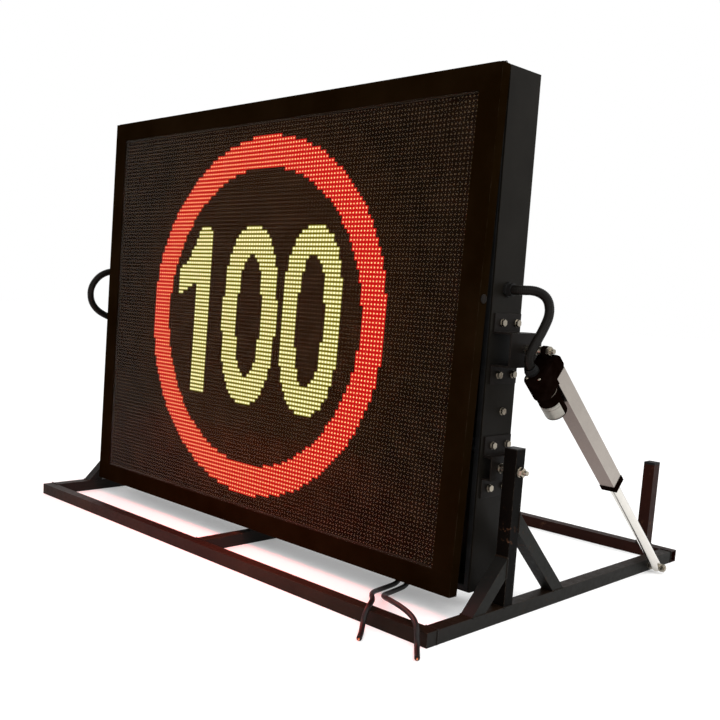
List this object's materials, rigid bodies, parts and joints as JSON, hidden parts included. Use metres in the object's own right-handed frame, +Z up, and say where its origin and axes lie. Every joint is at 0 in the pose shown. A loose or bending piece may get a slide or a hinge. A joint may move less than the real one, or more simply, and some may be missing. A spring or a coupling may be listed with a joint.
{
  "type": "variable speed sign",
  "caption": "Wide LED speed-limit sign in a black steel cabinet that tilts on a low welded base frame, moved by a linear actuator on each side, with a lift-up glazed front door.",
  "frame": {"origin": "middle of the base frame's footprint, on the ground", "axes": "+Z up; -Y towards the side the display faces; +X to the right of someone reading the sign"},
  "size_m": [1.617, 1.1053, 1.116],
  "materials": {
    "frame_steel": "black powder coat, worn at the welds",
    "frame_front": "black powder coat, slightly warm",
    "cabinet_paint": "satin black powder coat",
    "door_paint": "satin black powder coat",
    "rear_paint": "satin black powder coat",
    "bracket_paint": "black powder coat on folded sheet",
    "zinc": "zinc plated",
    "stainless": "polished",
    "tube_aluminium": "satin anodised",
    "galvanised": "galvanised",
    "black_rubber": "matt",
    "cap_plastic": "matt",
    "gland_plastic": "moulded",
    "conduit_plastic": "semi-gloss",
    "lead_rubber": "satin sheath",
    "housing_plastic": "cast and painted black",
    "clear_plastic": "clear, glossy",
    "module_plastic": "black louvred mask",
    "supply_case": "perforated case",
    "controller_case": "moulded case"
  },
  "bodies": {
    "base": {"front_rail": "frame_front", "rear_rail": "frame_steel", "cross_rail": "frame_steel", "side_rail_left": "frame_steel", "side_rail_right": "frame_steel", "upright_left": "frame_steel", "upright_right": "frame_steel", "rest_posts": "frame_steel", "frame_braces": "frame_steel", "upright_caps": "cap_plastic", "rest_pads": "black_rubber", "anchor_studs": "zinc"},
    "sign": {"cabinet_shell": "cabinet_paint", "rear_panel": "rear_paint", "rear_screws": "zinc", "door_seal": "black_rubber", "pivot_bracket_left": "bracket_paint", "pivot_bracket_right": "bracket_paint", "actuator_bracket_left": "bracket_paint", "actuator_bracket_right": "bracket_paint", "bracket_bolts": "zinc", "pivot_bolts": "zinc", "pivot_spacers": "zinc", "equipment_rails": "galvanised", "power_supplies": "supply_case", "sign_controller": "controller_case", "cable_glands": "gland_plastic", "conduit_left": "conduit_plastic", "conduit_right": "conduit_plastic", "lead_short": "lead_rubber", "lead_long": "lead_rubber", "hinge_fixed_leaf": "bracket_paint", "hinge_pin": "stainless", "strut_anchors": "zinc"},
    "door": {"hinge_door_leaf": "bracket_paint", "door_frame": "door_paint", "clear_sheet": "clear_plastic", "led_modules": "module_plastic", "module_rails": "galvanised", "strut_studs": "zinc"},
    "lock_left": {"side_lock_left": "bracket_paint"},
    "strut_tube_left": {"strut_tube_left": "cabinet_paint"},
    "strut_rod_left": {"strut_rod_left": "stainless"},
    "actuator_left": {"gear_housing_left": "housing_plastic", "motor_left": "housing_plastic", "actuator_tube_left": "tube_aluminium", "tube_end_cap_left": "housing_plastic", "lead_screw_left": "stainless"},
    "rod_left": {"actuator_rod_left": "stainless", "rod_pin_left": "zinc"},
    "lock_right": {"side_lock_right": "bracket_paint"},
    "strut_tube_right": {"strut_tube_right": "cabinet_paint"},
    "strut_rod_right": {"strut_rod_right": "stainless"},
    "actuator_right": {"gear_housing_right": "housing_plastic", "motor_right": "housing_plastic", "actuator_tube_right": "tube_aluminium", "tube_end_cap_right": "housing_plastic", "lead_screw_right": "stainless"},
    "rod_right": {"actuator_rod_right": "stainless", "rod_pin_right": "zinc"}
  },
  "joints": [
    {"name": "tilt", "type": "hinge", "parent": "base", "child": "sign", "pos_m": [0, -0.2535, 0.315], "axis": [-1, 0, 0], "range_deg": [0, 90]},
    {"name": "door_hinge", "type": "hinge", "parent": "sign", "child": "door", "pos_m": [0, -0.2975, 1.112], "axis": [-1, 0, 0], "range_deg": [-2.16, 75]},
    {"name": "lock_turn_left", "type": "hinge", "parent": "door", "child": "lock_left", "pos_m": [-0.694, -0.32785, 0.65882], "axis": [-1, 0, 0], "range_deg": [0, 90]},
    {"name": "strut_swing_left", "type": "hinge", "parent": "sign", "child": "strut_tube_left", "pos_m": [-0.66, -0.2125, 0.7], "axis": [1, 0, 0], "range_deg": [-0.26, 8.42]},
    {"name": "strut_slide_left", "type": "slide", "parent": "strut_tube_left", "child": "strut_rod_left", "axis": [0, -0.3066, 0.9518], "range_m": [-0.0036, 0.1213]},
    {"name": "actuator_swing_left", "type": "hinge", "parent": "sign", "child": "actuator_left", "pos_m": [-0.785, -0.23166, 0.56302], "axis": [1, 0, 0], "range_deg": [0, 96.21]},
    {"name": "rod_slide_left", "type": "slide", "parent": "actuator_left", "child": "rod_left", "axis": [0, -0.744, 0.6682], "range_m": [0, 0.3472]},
    {"name": "lock_turn_right", "type": "hinge", "parent": "door", "child": "lock_right", "pos_m": [0.694, -0.32785, 0.65882], "axis": [-1, 0, 0], "range_deg": [0, 90]},
    {"name": "strut_swing_right", "type": "hinge", "parent": "sign", "child": "strut_tube_right", "pos_m": [0.66, -0.2125, 0.7], "axis": [1, 0, 0], "range_deg": [-0.26, 8.42]},
    {"name": "strut_slide_right", "type": "slide", "parent": "strut_tube_right", "child": "strut_rod_right", "axis": [0, -0.3066, 0.9518], "range_m": [-0.0036, 0.1213]},
    {"name": "actuator_swing_right", "type": "hinge", "parent": "sign", "child": "actuator_right", "pos_m": [0.785, -0.23166, 0.56302], "axis": [1, 0, 0], "range_deg": [0, 96.21]},
    {"name": "rod_slide_right", "type": "slide", "parent": "actuator_right", "child": "rod_right", "axis": [0, -0.744, 0.6682], "range_m": [0, 0.3472]}
  ],
  "couplings": [
    {"joint": "strut_swing_left", "follows": "door_hinge", "ratio": 0.10669},
    {"joint": "strut_slide_left", "follows": "door_hinge", "m_per_rad": 0.092511},
    {"joint": "actuator_swing_left", "follows": "tilt", "ratio": 1.0684},
    {"joint": "rod_slide_left", "follows": "tilt", "m_per_rad": 0.22091},
    {"joint": "strut_swing_right", "follows": "door_hinge", "ratio": 0.10669},
    {"joint": "strut_slide_right", "follows": "door_hinge", "m_per_rad": 0.092511},
    {"joint": "actuator_swing_right", "follows": "tilt", "ratio": 1.0684},
    {"joint": "rod_slide_right", "follows": "tilt", "m_per_rad": 0.22091}
  ]
}
